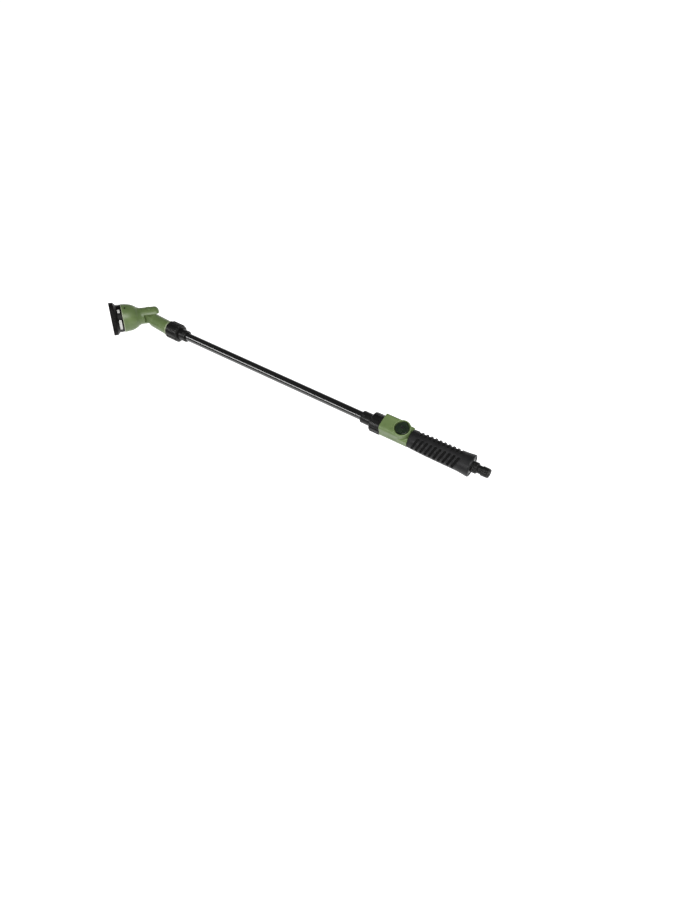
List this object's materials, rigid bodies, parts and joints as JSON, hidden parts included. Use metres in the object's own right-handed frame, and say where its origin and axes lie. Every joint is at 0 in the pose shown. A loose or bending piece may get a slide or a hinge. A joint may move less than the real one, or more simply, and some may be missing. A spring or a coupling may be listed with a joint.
{
  "type": "watering lance",
  "caption": "Long garden watering lance: a tilting spray head with a turning pattern dial on a straight tube, and a handle with a flow valve, slotted grip and hose plug.",
  "frame": {"origin": "on the tube's axis, at the front end of the hose plug's locking collar", "axes": "+X along the tube towards the hose, the spray head at -X; +Z through the flow knob; the head bends towards -Y"},
  "size_m": [0.8469, 0.1012, 0.0762],
  "materials": {
    "green_plastic": "satin moulded olive green",
    "black_plastic": "satin moulded black",
    "grip_rubber": "soft satin black",
    "tube_black": "gloss black coating on aluminium",
    "knob_plastic": "satin near-black green",
    "label_white": "matt printed white",
    "seat_plastic": "natural white moulding",
    "rubber": "matt black",
    "steel": "bright stainless"
  },
  "bodies": {
    "handle": {"lance_tube": "tube_black", "head_bush": "black_plastic", "handle_bush": "black_plastic", "valve_body": "green_plastic", "tube_seal": "rubber", "ball_seats": "seat_plastic", "valve_insert": "black_plastic", "water_tube": "seat_plastic", "grip_core": "black_plastic", "grip_sleeve": "grip_rubber", "grip_end_cap": "black_plastic", "hose_adaptor": "black_plastic", "adaptor_washer": "rubber", "hose_plug": "black_plastic", "plug_seal": "rubber", "inlet_filter": "steel"},
    "handle_collar": {"handle_nut": "black_plastic"},
    "head_collar": {"head_nut": "black_plastic"},
    "tail": {"elbow_tail": "green_plastic", "tail_seal": "rubber"},
    "head": {"head_bell": "green_plastic", "index_mark": "black_plastic", "selector_plate": "black_plastic", "port_seal": "rubber", "centre_screw": "steel", "pivot_pin": "black_plastic", "pivot_seals": "rubber", "pivot_caps": "green_plastic"},
    "dial": {"dial_core": "black_plastic", "dial_ring": "black_plastic", "spray_plate": "black_plastic", "pattern_labels": "label_white"},
    "valve": {"valve_ball": "steel", "valve_stem": "steel", "stem_seal": "rubber", "flow_knob": "knob_plastic", "knob_screw": "steel"}
  },
  "joints": [
    {"name": "head_swivel", "type": "hinge", "parent": "handle", "child": "tail", "pos_m": [-0.684, 0, 0], "axis": [1, 0, 0], "range_deg": [-90, 90]},
    {"name": "head_nut_turn", "type": "hinge", "parent": "tail", "child": "head_collar", "pos_m": [-0.684, 0, 0], "axis": [1, 0, 0], "range_deg": [0, 330]},
    {"name": "handle_nut_turn", "type": "hinge", "parent": "handle", "child": "handle_collar", "pos_m": [-0.2065, 0, 0], "axis": [1, 0, 0], "range_deg": [0, 330]},
    {"name": "head_tilt", "type": "hinge", "parent": "tail", "child": "head", "pos_m": [-0.772, 0.01096, -0.00488], "axis": [0, 0.4067, 0.9135], "range_deg": [-50, 10]},
    {"name": "dial_turn", "type": "hinge", "parent": "head", "child": "dial", "pos_m": [-0.772, 0.01096, -0.00488], "axis": [-0.5878, -0.7391, 0.3291], "continuous": true},
    {"name": "flow_knob_turn", "type": "hinge", "parent": "handle", "child": "valve", "pos_m": [-0.15725, 0, 0], "axis": [0, 0, 1], "range_deg": [0, 90]}
  ]
}
